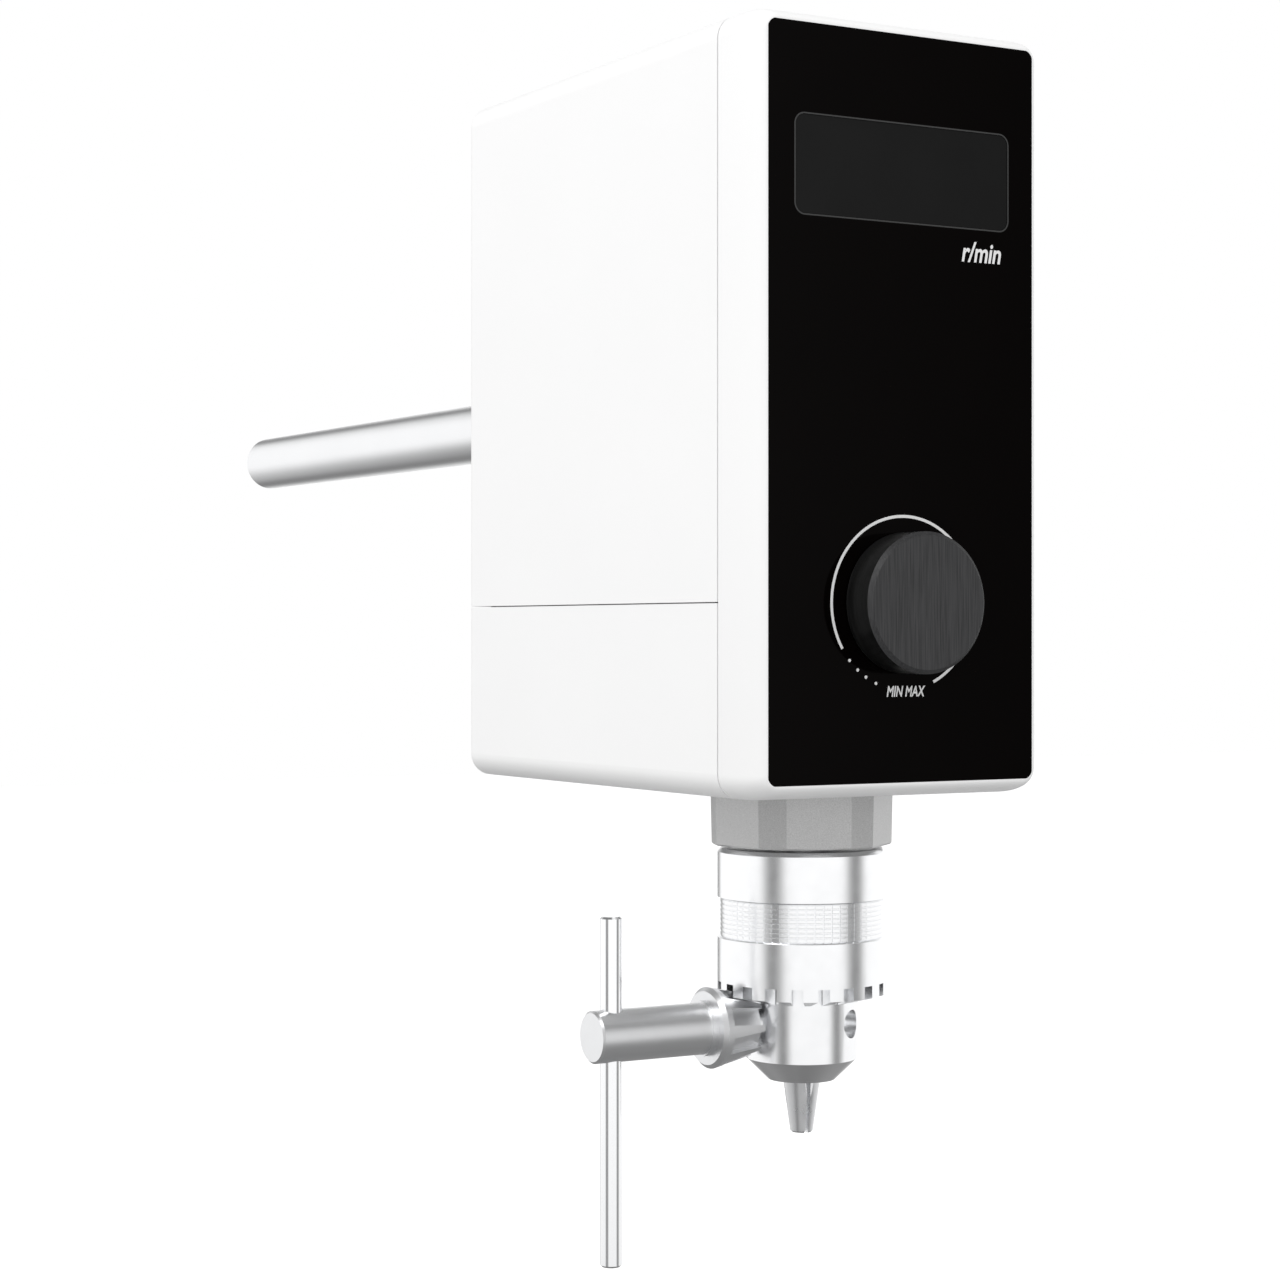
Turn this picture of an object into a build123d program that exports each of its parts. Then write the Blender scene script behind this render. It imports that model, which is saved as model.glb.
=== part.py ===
from build123d import *
from math import cos, radians, sin, sqrt, tan
import os

os.makedirs("parts", exist_ok=True)

# An overhead laboratory stirrer, held by its rear rod, with a keyed chuck under a tall narrow housing.
# Millimetres. X is right seen from the front, Y is backward, Z is up.
# The origin is on the rod's axis, in the plane of the housing's rear face.

# Housing
housing_width = 83.0
housing_height = 186.0
housing_depth = 152.0
housing_corner = 6.0
rear_edge = 4.0
wall = 2.5
seam_gap = 0.3
front_cover_depth = 17.2
lower_cover_height = 46.7
tongue_thickness = 1.2
tongue_length = 3.0
tongue_end_clearance = 2.5
cover_clearance = 0.2
soft_edge_depth = 13.0
soft_edge_side = 3.0
soft_edge_top = 3.6
soft_edge_steps = 7

# Front panel, display and speed knob
panel_side_margin = 3.3
panel_top_margin = 3.9
panel_thickness = 2.0
panel_corner = 2.0
panel_clearance = 0.1
front_wall = 2.5
window_side_margin = 7.4
window_height = 23.4
window_corner = 2.5
window_thickness = 1.9
window_clearance = 0.15
window_below_roof = 36.9
module_side_margin = 5.8
module_height = 18.6
module_clearance = 0.4
knob_above_floor = 46.6
knob_radius = 16.85
knob_length = 9.7
knob_stand_off = 0.5
knob_chamfer = 1.0
knob_bore_depth = 7.0
pot_radius = 8.0
pot_depth = 6.8
bushing_radius = 3.5
bushing_proud = 1.5
pot_shaft_radius = 3.0
pot_shaft_depth = 3.4
pot_shaft_end_clearance = 0.1
pot_nut_flats = 10.0
pot_nut_thickness = 1.4
panel_shaft_hole = 6.4
running_clearance = 0.05
board_thickness = 1.6
board_side_margin = 4.6
board_below_roof = 14.7
board_above_floor = 31.3
board_inset = 4.0
chip_height = 2.0
chip_size = 11.0
chip_spacing = 22.0
small_screw = 1.25
small_screw_head = 2.2
small_screw_head_height = 1.5
small_boss = 2.8
small_screw_bite = 3.0

# Support rod and chassis
rod_below_roof = 84.7
rod_radius = 9.0
rod_length = 248.0
rod_edge = 0.5
rod_tail_radius = 6.0
rod_tail_length = 32.0
rod_tail_clearance = 0.05
rod_tail_end_clearance = 0.5
boss_radius = 14.0
boss_length = 36.0
boss_clearance = 0.3
grub_radius = 2.5
grub_recess = 1.0
grub_setbacks = (18.0, 28.0)
base_thickness = 8.0
base_side_clearance = 4.0
base_front_setback = 22.0
upright_thickness = 8.0
upright_below_roof = 18.7
upright_leg = 4.0
service_window_height = 31.0
relief_window_width = 40.0
relief_above_boss = 8.0
relief_below_top = 18.0
relief_corner = 3.0
gusset_thickness = 4.0
gusset_run = 50.0
gusset_rise = 60.0

# Spindle, collar and bearings
spindle_to_front = 44.6
collar_radius = 23.0
collar_height = 13.8
collar_flats = 6
collar_large_flat = 41.6
collar_turn = 188.5
collar_draft = 1.2
collar_edge = 0.4
collar_neck = 16.0
collar_bore = 9.5
collar_screw_circle = 17.5
collar_screw_count = 3
shaft_radius = 6.0
neck_radius = 8.5
lower_race = 14.0
bearing_width = 8.0
race_split = 9.15
race_gap = 0.15
upper_race = 13.0
upper_shaft_radius = 5.0
upper_race_split = 8.0
screw_radius = 1.5
screw_clearance = 0.1
screw_head = 2.75
screw_head_height = 2.5

# Motor
motor_radius = 29.0
motor_wall = 4.5
motor_length = 76.0
end_bell_thickness = 10.0
stack_length = 40.0
stack_bottom_clear = 19.0
stator_bore = 13.6
stator_yoke = 20.5
tooth_count = 9
tooth_width = 4.0
tooth_shoe = 1.2
tooth_shoe_angle = 33.0
tooth_root = 1.0
coil_clearance = 0.1
coil_thickness = 1.9
coil_inner = 15.2
coil_outer = 20.0
coil_end = 3.0
rotor_core_radius = 10.5
magnet_thickness = 2.5
magnet_count = 4
magnet_angle = 80.0
motor_bolt_circle = 26.75
motor_bolt_count = 4
motor_bolt_turn = 45.0
motor_bolt_head = 2.2
end_bell_edge = 0.5
shaft_top_clear = 0.5

# Power supply, inlet and switch
power_board_side_clearance = 4.0
power_board_to_motor = 4.4
power_board_to_inlet = 10.0
power_post_height = 6.0
power_hole_inset = 3.5
transformer_width = 22.0
transformer_length = 20.0
transformer_height = 17.0
transformer_offset = -10.0
capacitor_radius = 7.0
capacitor_height = 18.0
capacitor_offset = 12.5
rear_fittings_above_floor = 25.3
rear_fittings_clearance = 1.0
inlet_width = 27.0
inlet_height = 20.0
inlet_depth = 22.0
inlet_flange = 2.0
inlet_lip = 2.0
inlet_socket_width = 24.2
inlet_socket_height = 16.6
inlet_socket_depth = 17.0
inlet_key_corner = 4.0
blade_width = 2.0
blade_height = 4.0
blade_length = 15.0
blade_spacing = 7.0
blade_rise = 2.0
switch_width = 13.0
switch_height = 19.2
switch_depth = 14.0
switch_flange = 1.5
switch_lip = 1.0
rocker_width = 9.2
rocker_radius = 8.3
rocker_reach = 7.9
rocker_dip = 1.2
rocker_pivot_depth = 2.0
rocker_clearance = 0.2
rocker_well_depth = 9.0
rocker_tilt = 9.0
rocker_edge = 0.5

# Screws in the housing
cover_screw_radius = 2.0
cover_screw_head = 3.6
cover_screw_head_height = 2.2
cover_screw_depth = 9.0
cover_screw_edge = 0.5
cover_screw_from_side = 9.0
cover_screw_from_top = 9.0
base_screw_radius = 1.7
base_screw_head = 3.3
base_screw_from_side = 4.0
base_screw_from_end = 8.0
base_screw_length = 9.0
countersink_angle = 90.0

# Chuck
chuck_gap = 0.75
sleeve_length = 36.55
sleeve_radius = 21.3
sleeve_inner = 18.6
sleeve_chamfer = 1.0
band_top = 12.35
band_height = 10.1
band_radius = 20.4
band_edge = 0.4
lip_inner = 14.3
lip_drop = 1.8
nut_seat = 31.65
crown_teeth = 20
crown_gap = 3.0
crown_depth = 3.1
nose_radius = 14.05
nose_length = 16.4
nose_cone_radius = 8.5
nose_cone_height = 5.4
body_radius = 17.6
flange_height = 3.3
flange_drop = 0.35
body_running = 0.1
nut_height = 8.2
nut_inner_bottom = 13.65
nut_inner_top = 14.5
nut_split = 0.3
socket_depth = 16.0
rod_bore = 5.2
rod_bore_depth = 38.0
jaw_count = 3
jaw_radius = 3.25
jaw_clearance = 0.05
jaw_lean = 12.5
jaw_axis_at_tip = 0.3
jaw_reach = 13.5
jaw_height = 46.2
jaw_gap = 1.0
jaw_tip_radius = 2.83
jaw_tip_chamfer = 0.4
jaw_cone_radius = 4.85
jaw_shoulder_inside = 1.2
jaw_turn = 203.3
jaw_bore_height = 67.3
pilot_height = 14.6
pilot_radius = 3.5
pilot_hole_clearance = 0.05
pilot_hole_depth = 3.5
pilot_end_clearance = 0.3

# Key
key_teeth = 8
key_slot = 4.4
key_front = 15.55
key_front_radius = 7.6
key_rim = 27.5
key_rim_radius = 10.07
key_rim_chamfer = 1.0
key_slot_end = 25.7
key_slot_overrun = 1.0
key_root_front = 5.45
key_root_end = 8.15
key_ring_radius = 6.85
key_ring_length = 1.5
key_shank_radius = 6.4
key_end = 60.5
key_end_chamfer = 0.5
key_bore_depth = 18.0
bar_place = 55.1
bar_radius = 2.7
bar_length = 84.9
bar_above_key = 29.0
bar_chamfer = 0.5

# Levels and places that follow from the sizes above
rod_above_floor = housing_height - rod_below_roof
spindle_to_rear = housing_depth - spindle_to_front
floor_z = -rod_above_floor
roof_z = floor_z + housing_height
middle_z = (floor_z + roof_z) / 2
seam_z = floor_z + lower_cover_height
cover_front = housing_depth - front_cover_depth
inner_width = housing_width - 2 * wall
inner_height = housing_height - 2 * wall
tongue_band = cover_clearance + tongue_thickness
panel_width = housing_width - 2 * panel_side_margin
panel_height = housing_height - 2 * panel_top_margin
window_width = panel_width - 2 * window_side_margin
module_width = window_width - 2 * module_side_margin
window_z = roof_z - window_below_roof
board_width = inner_width - 2 * tongue_band - 2 * board_side_margin
board_top = roof_z - board_below_roof
board_bottom = floor_z + board_above_floor
board_middle = (board_top + board_bottom) / 2
board_screws_across = board_width - 2 * board_inset
board_screws_up = board_top - board_bottom - 2 * board_inset
panel_back = housing_depth - panel_thickness
cavity_front = panel_back - front_wall
board_front = cavity_front - pot_depth
knob_z = floor_z + knob_above_floor
knob_back = housing_depth + knob_stand_off
base_bottom = floor_z + wall
base_top = base_bottom + base_thickness
base_width = inner_width - 2 * base_side_clearance
base_front = housing_depth - base_front_setback
upright_back = wall
upright_front = upright_back + upright_thickness
upright_top = roof_z - upright_below_roof
service_half = base_width / 2 - upright_leg
fittings_z = floor_z + rear_fittings_above_floor
inlet_offset = rear_fittings_clearance + inlet_width / 2 - service_half
switch_offset = service_half - rear_fittings_clearance - switch_width / 2
cover_screw_x = base_width / 2 - cover_screw_from_side
cover_screw_z = upright_top - cover_screw_from_top
base_screw_x = base_width / 2 - base_screw_from_side
base_screw_places = [(x, -y) for x in (-base_screw_x, base_screw_x)
                     for y in (upright_back + base_screw_from_end, base_front - base_screw_from_end)]
power_board_width = base_width - 2 * gusset_thickness - 2 * power_board_side_clearance
power_board_front = spindle_to_rear - motor_radius - power_board_to_motor
power_board_back = inlet_depth + power_board_to_inlet
power_board_length = power_board_front - power_board_back
power_board_y = -(power_board_front + power_board_back) / 2
power_screws_across = power_board_width - 2 * power_hole_inset
power_screws_along = power_board_length - 2 * power_hole_inset
motor_top = base_top + motor_length
end_bell_top = motor_top + end_bell_thickness
stack_bottom = base_top + stack_bottom_clear
stack_middle = stack_bottom + stack_length / 2
collar_bottom = floor_z - collar_height
sleeve_top = collar_bottom - chuck_gap
sleeve_bottom = sleeve_top - sleeve_length
lip_bottom = sleeve_bottom - lip_drop
nut_bottom = sleeve_top - nut_seat
nut_top = nut_bottom + nut_height
chuck_top = sleeve_top - flange_drop
nose_corner = sleeve_bottom - nose_length
nose_bottom = nose_corner - nose_cone_height
jaw_tip = nose_bottom - jaw_reach
pilot_z = nose_bottom + pilot_height
socket_bottom = chuck_top - socket_depth

chuck_axis = Axis((0, -spindle_to_rear, 0), (0, 0, 1))
key_axis = Axis((0, -spindle_to_rear, pilot_z), (1, 0, 0))


def front_view(distance):
    """The plane parallel to the front panel, a distance in front of the housing's rear face."""
    return Plane.XZ.offset(distance)


def level(height, turn=0):
    """The horizontal plane at a height, centred on the spindle's axis and turned about it."""
    return Plane(origin=(0, -spindle_to_rear, height), x_dir=(cos(radians(turn)), sin(radians(turn)), 0))


def save(piece, name):
    """Label a finished piece with its node's name and write it."""
    piece.part.label = name
    export_step(piece.part, "parts/" + name + ".step")


# Front cover: a hollow moulded frame whose edges curve in softly to the glossy panel.
with BuildPart() as front_cover:
    with BuildSketch(front_view(cover_front)):
        with Locations((0, middle_z)):
            RectangleRounded(housing_width, housing_height, housing_corner)
    extrude(amount=front_cover_depth - soft_edge_depth)
    for step in range(soft_edge_steps + 1):
        round_angle = radians(90 * step / soft_edge_steps)
        side = soft_edge_side * (1 - cos(round_angle))
        top = soft_edge_top * (1 - cos(round_angle))
        with BuildSketch(front_view(housing_depth - soft_edge_depth * (1 - sin(round_angle)))):
            with Locations((0, middle_z)):
                RectangleRounded(housing_width - 2 * side, housing_height - 2 * top, housing_corner - side)
    loft(ruled=True)
    with BuildSketch(front_view(cover_front)):
        with Locations((0, middle_z)):
            RectangleRounded(inner_width - 2 * tongue_band, inner_height - 2 * tongue_band,
                             housing_corner - wall)
    extrude(amount=cavity_front - cover_front, mode=Mode.SUBTRACT)
    with BuildSketch(front_view(cover_front)):
        with Locations((0, middle_z)):
            RectangleRounded(inner_width - 2 * cover_clearance, inner_height - 2 * cover_clearance,
                             housing_corner - wall)
            RectangleRounded(inner_width - 2 * tongue_band, inner_height - 2 * tongue_band,
                             housing_corner - wall, mode=Mode.SUBTRACT)
    extrude(amount=-tongue_length)
    with BuildSketch(front_view(panel_back)):
        with Locations((0, middle_z)):
            RectangleRounded(panel_width + 2 * panel_clearance, panel_height + 2 * panel_clearance,
                             panel_corner + panel_clearance)
    extrude(amount=panel_thickness, mode=Mode.SUBTRACT)
    with BuildSketch(front_view(cavity_front)):
        with Locations((0, window_z)):
            Rectangle(module_width + 2 * module_clearance, module_height + 2 * module_clearance)
        with Locations((0, knob_z)):
            Circle(bushing_radius + screw_clearance)
    extrude(amount=front_wall, mode=Mode.SUBTRACT)
    with BuildSketch(front_view(board_front)):
        with Locations((0, board_middle)):
            with GridLocations(board_screws_across, board_screws_up, 2, 2):
                Circle(small_boss)
                Circle(small_screw + screw_clearance, mode=Mode.SUBTRACT)
    extrude(amount=pot_depth)
save(front_cover, "front_cover")

# Front panel: a glossy sheet laid flush in the front cover, cut out for the window and the shaft.
with BuildPart() as front_panel:
    with BuildSketch(front_view(panel_back)):
        with Locations((0, middle_z)):
            RectangleRounded(panel_width, panel_height, panel_corner)
        with Locations((0, window_z)):
            RectangleRounded(window_width, window_height, window_corner, mode=Mode.SUBTRACT)
        with Locations((0, knob_z)):
            Circle(panel_shaft_hole, mode=Mode.SUBTRACT)
    extrude(amount=panel_thickness)
save(front_panel, "front_panel")

# Display window: a tinted lens in the panel's opening, seated on the cover's front wall.
with BuildPart() as display_window:
    with BuildSketch(front_view(panel_back)):
        with Locations((0, window_z)):
            RectangleRounded(window_width - 2 * window_clearance, window_height - 2 * window_clearance,
                             window_corner - window_clearance)
    extrude(amount=window_thickness)
save(display_window, "display_window")

# Display module: the digit block, soldered to the control board behind the window.
with BuildPart() as display_module:
    with BuildSketch(front_view(board_front)):
        with Locations((0, window_z)):
            Rectangle(module_width, module_height)
    extrude(amount=panel_back - board_front - module_clearance)
save(display_module, "display_module")

# Control board: carries the display, the potentiometer and the motor driver's chips.
with BuildPart() as control_board:
    with BuildSketch(front_view(board_front - board_thickness)):
        with Locations((0, board_middle)):
            Rectangle(board_width, board_top - board_bottom)
            with GridLocations(board_screws_across, board_screws_up, 2, 2):
                Circle(small_screw + screw_clearance, mode=Mode.SUBTRACT)
    extrude(amount=board_thickness)
    with BuildSketch(front_view(board_front - board_thickness)):
        with Locations((0, board_middle)):
            with GridLocations(chip_spacing, chip_spacing, 2, 2):
                Rectangle(chip_size, chip_size)
    extrude(amount=-chip_height)
save(control_board, "control_board")

# Board screws: four small pan heads through the board into the front cover's bosses.
with BuildPart() as board_screws:
    with BuildSketch(front_view(board_front - board_thickness)):
        with Locations((0, board_middle)):
            with GridLocations(board_screws_across, board_screws_up, 2, 2):
                Circle(small_screw)
    extrude(amount=board_thickness + small_screw_bite)
    with BuildSketch(front_view(board_front - board_thickness)):
        with Locations((0, board_middle)):
            with GridLocations(board_screws_across, board_screws_up, 2, 2):
                Circle(small_screw_head)
    extrude(amount=-small_screw_head_height)
save(board_screws, "board_screws")

# Speed potentiometer: its round can sits between board and front wall, its bushing goes through.
with BuildPart() as speed_pot:
    with BuildSketch(front_view(board_front)):
        with Locations((0, knob_z)):
            Circle(pot_radius)
    extrude(amount=pot_depth)
    with BuildSketch(front_view(cavity_front)):
        with Locations((0, knob_z)):
            Circle(bushing_radius)
    extrude(amount=front_wall + bushing_proud)
    with BuildSketch(front_view(panel_back + bushing_proud)):
        with Locations((0, knob_z)):
            Circle(pot_shaft_radius + running_clearance)
    extrude(amount=-(front_wall + bushing_proud + pot_shaft_depth), mode=Mode.SUBTRACT)
save(speed_pot, "speed_pot")

# Potentiometer nut: clamps the bushing to the front wall, under the knob.
with BuildPart() as pot_nut:
    with BuildSketch(front_view(panel_back)):
        with Locations((0, knob_z)):
            RegularPolygon(pot_nut_flats / 2, 6, major_radius=False)
            Circle(bushing_radius, mode=Mode.SUBTRACT)
    extrude(amount=pot_nut_thickness)
save(pot_nut, "pot_nut")

# Potentiometer shaft: turns in the bushing and carries the knob.
shaft_start = cavity_front - pot_shaft_depth + pot_shaft_end_clearance
with BuildPart() as pot_shaft:
    with BuildSketch(front_view(shaft_start)):
        with Locations((0, knob_z)):
            Circle(pot_shaft_radius)
    extrude(amount=knob_back + knob_bore_depth - shaft_start)
save(pot_shaft, "pot_shaft")

# Speed knob: a turned drum with a chamfered face and a blind bore for the shaft.
with BuildPart() as speed_knob:
    with BuildSketch(front_view(knob_back)):
        with Locations((0, knob_z)):
            Circle(knob_radius)
    extrude(amount=knob_length)
    chamfer(speed_knob.faces().sort_by(Axis.Y)[0].edges(), length=knob_chamfer)
    with BuildSketch(front_view(knob_back)):
        with Locations((0, knob_z)):
            Circle(pot_shaft_radius)
    extrude(amount=knob_bore_depth, mode=Mode.SUBTRACT)
save(speed_knob, "speed_knob")

# The deep shell behind the front cover, moulded as two covers that part along the side seam.
with BuildPart() as rear_shell:
    with BuildSketch(front_view(0)):
        with Locations((0, middle_z)):
            RectangleRounded(housing_width, housing_height, housing_corner)
    extrude(amount=cover_front - seam_gap)
    fillet(rear_shell.faces().sort_by(Axis.Y)[-1].edges(), radius=rear_edge)
    with BuildSketch(front_view(wall)):
        with Locations((0, middle_z)):
            RectangleRounded(inner_width, inner_height, housing_corner - wall)
    extrude(amount=cover_front, mode=Mode.SUBTRACT)

# Upper cover: roof, sides and upper rear wall, with the hole for the rod's boss.
with BuildPart() as upper_cover:
    add(rear_shell.part)
    split(bisect_by=Plane.XY.offset(seam_z + seam_gap / 2), keep=Keep.TOP)
    with BuildSketch(front_view(0)):
        Circle(boss_radius + boss_clearance)
        with Locations((-cover_screw_x, cover_screw_z), (cover_screw_x, cover_screw_z)):
            Circle(cover_screw_radius + screw_clearance)
    extrude(amount=wall, mode=Mode.SUBTRACT)
save(upper_cover, "upper_cover")

# Lower cover: a tray with the collar's hole in its floor and the inlet and switch in its rear wall.
tongue_setback = upright_front + tongue_end_clearance
tongue_run = cover_front - tongue_length - tongue_end_clearance - tongue_setback
with BuildPart() as lower_cover:
    add(rear_shell.part)
    split(bisect_by=Plane.XY.offset(seam_z - seam_gap / 2), keep=Keep.BOTTOM)
    with BuildSketch(front_view(0)):
        with Locations((inlet_offset, fittings_z)):
            Rectangle(inlet_width + 2 * cover_clearance, inlet_height + 2 * cover_clearance)
        with Locations((switch_offset, fittings_z)):
            Rectangle(switch_width + 2 * cover_clearance, switch_height + 2 * cover_clearance)
    extrude(amount=wall, mode=Mode.SUBTRACT)
    with BuildSketch(level(floor_z)):
        Circle(collar_neck + cover_clearance)
        with PolarLocations(collar_screw_circle, collar_screw_count, start_angle=collar_turn):
            Circle(screw_radius + screw_clearance)
    extrude(amount=wall, mode=Mode.SUBTRACT)
    with Locations(*[Pos(x, y, floor_z) * Rot(180, 0, 0) for x, y in base_screw_places]):
        CounterSinkHole(base_screw_radius + screw_clearance, base_screw_head + screw_clearance, wall,
                        counter_sink_angle=countersink_angle)
    for side in (-1, 1):
        with BuildSketch(Plane.XY.offset(seam_z - seam_gap / 2 - tongue_length)):
            with Locations((side * (inner_width - tongue_band) / 2, -tongue_setback - tongue_run / 2)):
                Rectangle(tongue_band, tongue_run)
        extrude(amount=tongue_length)
        with BuildSketch(Plane.XY.offset(seam_z - seam_gap / 2)):
            with Locations((side * (inner_width / 2 - tongue_band + tongue_thickness / 2),
                            -tongue_setback - tongue_run / 2)):
                Rectangle(tongue_thickness, tongue_run)
        extrude(amount=tongue_length)
save(lower_cover, "lower_cover")

# Chassis: one casting with the base that carries the motor and the upright that holds the rod.
service_top = base_top + service_window_height
relief_bottom = boss_radius + relief_above_boss
relief_top = upright_top - relief_below_top
with BuildPart() as chassis:
    with BuildSketch(Plane.XY.offset(base_bottom)):
        with Locations((0, -(upright_back + base_front) / 2)):
            Rectangle(base_width, base_front - upright_back)
    extrude(amount=base_thickness)
    with BuildSketch(front_view(upright_back)):
        with Locations((0, (base_bottom + upright_top) / 2)):
            Rectangle(base_width, upright_top - base_bottom)
        with Locations((0, (base_top + service_top) / 2)):
            Rectangle(2 * service_half, service_top - base_top, mode=Mode.SUBTRACT)
        with Locations((0, (relief_bottom + relief_top) / 2)):
            RectangleRounded(relief_window_width, relief_top - relief_bottom, relief_corner,
                             mode=Mode.SUBTRACT)
    extrude(amount=upright_thickness)
    with BuildSketch(front_view(0)):
        Circle(boss_radius)
    extrude(amount=boss_length)
    for side in (-1, 1):
        with BuildSketch(Plane.YZ.offset(side * (base_width - gusset_thickness) / 2)):
            with BuildLine():
                Polyline((-upright_front, base_top), (-upright_front - gusset_run, base_top),
                         (-upright_front, base_top + gusset_rise), close=True)
            make_face()
        extrude(amount=gusset_thickness / 2, both=True)
    with BuildSketch(Plane.XY.offset(base_top)):
        with Locations((0, power_board_y)):
            with GridLocations(power_screws_across, power_screws_along, 2, 2):
                Circle(small_boss)
    extrude(amount=power_post_height)
    with BuildSketch(Plane.XY.offset(base_top + power_post_height)):
        with Locations((0, power_board_y)):
            with GridLocations(power_screws_across, power_screws_along, 2, 2):
                Circle(small_screw + screw_clearance)
    extrude(amount=-power_post_height, mode=Mode.SUBTRACT)
    with BuildSketch(front_view(0)):
        Circle(rod_tail_radius + rod_tail_clearance)
    extrude(amount=rod_tail_length + rod_tail_end_clearance, mode=Mode.SUBTRACT)
    with BuildSketch(Plane.XY):
        with Locations(*[(0, -setback) for setback in grub_setbacks]):
            Circle(grub_radius + screw_clearance)
    extrude(amount=boss_radius, mode=Mode.SUBTRACT)
    with BuildSketch(level(base_bottom)):
        Circle(lower_race)
        with PolarLocations(collar_screw_circle, collar_screw_count, start_angle=collar_turn):
            Circle(screw_radius + screw_clearance)
        with PolarLocations(motor_bolt_circle, motor_bolt_count, start_angle=motor_bolt_turn):
            Circle(screw_radius + screw_clearance)
    extrude(amount=base_thickness, mode=Mode.SUBTRACT)
    with BuildSketch(Plane.XY.offset(base_bottom)):
        with Locations(*base_screw_places):
            Circle(base_screw_radius + screw_clearance)
    extrude(amount=base_thickness, mode=Mode.SUBTRACT)
    with BuildSketch(front_view(upright_back)):
        with Locations((-cover_screw_x, cover_screw_z), (cover_screw_x, cover_screw_z)):
            Circle(cover_screw_radius + screw_clearance)
    extrude(amount=upright_thickness, mode=Mode.SUBTRACT)
save(chassis, "chassis")

# Support rod: a bright bar whose thinner tail screws into the chassis boss up to its shoulder.
with BuildPart() as support_rod:
    with BuildSketch(front_view(0)):
        Circle(rod_radius)
    extrude(amount=-rod_length)
    chamfer(support_rod.faces().sort_by(Axis.Y)[-1].edges(), length=rod_edge)
    with BuildSketch(front_view(0)):
        Circle(rod_tail_radius)
    extrude(amount=rod_tail_length)
save(support_rod, "support_rod")

# Grub screws: two set screws in the boss that bear on the rod's tail.
with BuildPart() as rod_grub_screws:
    with BuildSketch(Plane.XY.offset(rod_tail_radius + rod_tail_clearance)):
        with Locations(*[(0, -setback) for setback in grub_setbacks]):
            Circle(grub_radius)
    extrude(amount=boss_radius - grub_recess - rod_tail_radius)
save(rod_grub_screws, "rod_grub_screws")

# Spindle collar: a white moulded nose, twelve-sided with six wide and six narrow flats.
collar_corners = [360 * n / collar_flats + half
                  for n in range(collar_flats) for half in (-collar_large_flat / 2, collar_large_flat / 2)]
collar_outline = [(collar_radius * cos(radians(turn)), collar_radius * sin(radians(turn)))
                  for turn in collar_corners]
with BuildPart() as spindle_collar:
    with BuildSketch(level(floor_z, collar_turn)):
        Polygon(*collar_outline, align=None)
    extrude(amount=-collar_height, taper=collar_draft)
    chamfer(spindle_collar.faces().sort_by(Axis.Z)[0].edges(), length=collar_edge)
    with BuildSketch(level(floor_z)):
        Circle(collar_neck)
    extrude(amount=wall)
    with BuildSketch(level(base_bottom)):
        Circle(collar_bore)
        with PolarLocations(collar_screw_circle, collar_screw_count, start_angle=collar_turn):
            Circle(screw_radius + screw_clearance)
    extrude(amount=-(wall + collar_height), mode=Mode.SUBTRACT)
    with BuildSketch(level(collar_bottom)):
        with PolarLocations(collar_screw_circle, collar_screw_count, start_angle=collar_turn):
            Circle(screw_head + screw_clearance)
    extrude(amount=screw_head_height + collar_edge, mode=Mode.SUBTRACT)
save(spindle_collar, "spindle_collar")

# Collar screws: three, with heads sunk in the collar's underside, up into the chassis base.
with BuildPart() as collar_screws:
    with BuildSketch(level(collar_bottom + collar_edge)):
        with PolarLocations(collar_screw_circle, collar_screw_count, start_angle=collar_turn):
            Circle(screw_head)
    extrude(amount=screw_head_height)
    with BuildSketch(level(collar_bottom + collar_edge)):
        with PolarLocations(collar_screw_circle, collar_screw_count, start_angle=collar_turn):
            Circle(screw_radius)
    extrude(amount=collar_height + wall + base_thickness / 2)
save(collar_screws, "collar_screws")

# Lower bearing: the outer ring is held in the chassis base, the inner ring turns with the spindle.
with BuildPart() as lower_bearing_outer:
    with BuildSketch(level(base_bottom)):
        Circle(lower_race)
        Circle(race_split + race_gap, mode=Mode.SUBTRACT)
    extrude(amount=bearing_width)
save(lower_bearing_outer, "lower_bearing_outer")

with BuildPart() as lower_bearing_inner:
    with BuildSketch(level(base_bottom)):
        Circle(race_split - race_gap)
        Circle(shaft_radius, mode=Mode.SUBTRACT)
    extrude(amount=bearing_width)
save(lower_bearing_inner, "lower_bearing_inner")

# Upper bearing: seated in the motor's end bell.
with BuildPart() as upper_bearing_outer:
    with BuildSketch(level(motor_top)):
        Circle(upper_race)
        Circle(upper_race_split + race_gap, mode=Mode.SUBTRACT)
    extrude(amount=bearing_width)
save(upper_bearing_outer, "upper_bearing_outer")

with BuildPart() as upper_bearing_inner:
    with BuildSketch(level(motor_top)):
        Circle(upper_race_split - race_gap)
        Circle(upper_shaft_radius, mode=Mode.SUBTRACT)
    extrude(amount=bearing_width)
save(upper_bearing_inner, "upper_bearing_inner")

# Spindle: the motor's own shaft, with a thick neck below its lower bearing and a stub for the chuck.
with BuildPart() as spindle:
    with BuildSketch(Plane.XZ.offset(spindle_to_rear)):
        with BuildLine():
            Polyline((0, socket_bottom), (shaft_radius, socket_bottom), (shaft_radius, chuck_top),
                     (neck_radius, chuck_top), (neck_radius, base_bottom), (shaft_radius, base_bottom),
                     (shaft_radius, motor_top), (upper_shaft_radius, motor_top),
                     (upper_shaft_radius, motor_top + bearing_width - shaft_top_clear),
                     (0, motor_top + bearing_width - shaft_top_clear), close=True)
        make_face()
    revolve(axis=chuck_axis)
save(spindle, "spindle")

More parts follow.
